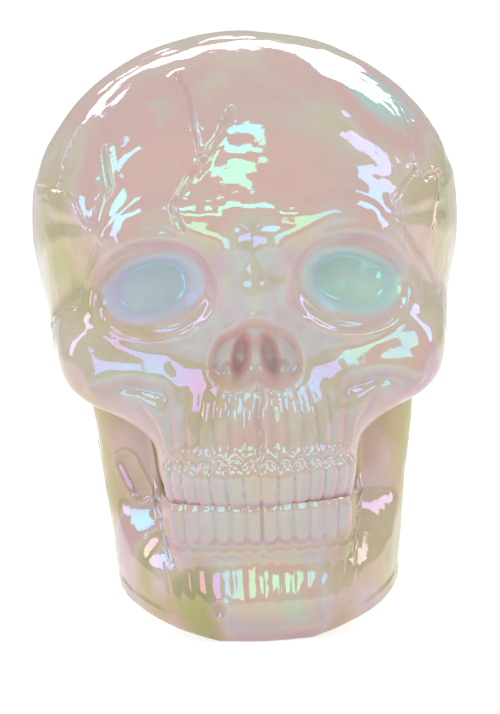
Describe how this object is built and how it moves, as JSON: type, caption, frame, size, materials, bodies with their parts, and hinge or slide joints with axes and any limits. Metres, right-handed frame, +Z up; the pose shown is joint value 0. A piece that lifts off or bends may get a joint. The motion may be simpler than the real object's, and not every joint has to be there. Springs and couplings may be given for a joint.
{
  "type": "halloween skull decoration",
  "caption": "Life-size hollow skull in pearly translucent plastic with a hinged jaw, on a round pedestal that hides a battery lamp with a slide switch.",
  "frame": {"origin": "on the table, under the middle of the whole skull's box", "axes": "+Z up, the face looks along -Y, +X to the viewer's right when facing it (the skull's own left)"},
  "size_m": [0.1544, 0.1916, 0.2115],
  "materials": {
    "pearl_shell": "glossy translucent pearl that shifts from pink and beige to olive",
    "pearl_jaw": "the same pearl, more olive",
    "steel": "plated",
    "rubber": "matte",
    "charcoal": "fine matte",
    "cell_wrap": "plain printed sleeve without lettering",
    "led_lens": "clear epoxy",
    "board": "green solder mask",
    "frosted": "frosted",
    "switch_black": "satin",
    "lead_red": "wire insulation",
    "lead_black": "wire insulation"
  },
  "bodies": {
    "skull": {"face_shell": "pearl_shell", "back_shell": "pearl_shell", "pivot_screw_left": "steel", "pivot_screw_right": "steel", "holder_screw_1": "steel", "holder_screw_2": "steel", "holder_screw_3": "steel", "board_screw_1": "steel", "board_screw_2": "steel", "top_contact": "steel", "contact_spring_1": "steel", "contact_spring_2": "steel", "contact_spring_3": "steel", "pivot_washer_left": "rubber", "pivot_washer_right": "rubber", "foot_ring": "rubber", "base_housing": "charcoal", "battery_holder": "charcoal", "battery_1": "cell_wrap", "battery_2": "cell_wrap", "battery_3": "cell_wrap", "led_1": "led_lens", "led_2": "led_lens", "led_3": "led_lens", "led_board": "board", "diffuser": "frosted", "switch_body": "switch_black", "lead_battery": "lead_red", "lead_switch": "lead_black"},
    "jaw": {"jaw": "pearl_jaw"},
    "battery_cap": {"battery_cap": "charcoal", "cap_contact": "steel"},
    "switch_knob": {"switch_knob": "switch_black"}
  },
  "joints": [
    {"name": "jaw_hinge", "type": "hinge", "parent": "skull", "child": "jaw", "pos_m": [0, -0.006, 0.0734], "axis": [1, 0, 0], "range_deg": [0, 15]},
    {"name": "cap_twist", "type": "hinge", "parent": "skull", "child": "battery_cap", "pos_m": [0, 0.012, 0.0039], "axis": [0, 0, 1], "range_deg": [0, 45]},
    {"name": "switch_slide", "type": "slide", "parent": "skull", "child": "switch_knob", "axis": [1, 0, 0], "range_m": [0, 0.004]}
  ]
}
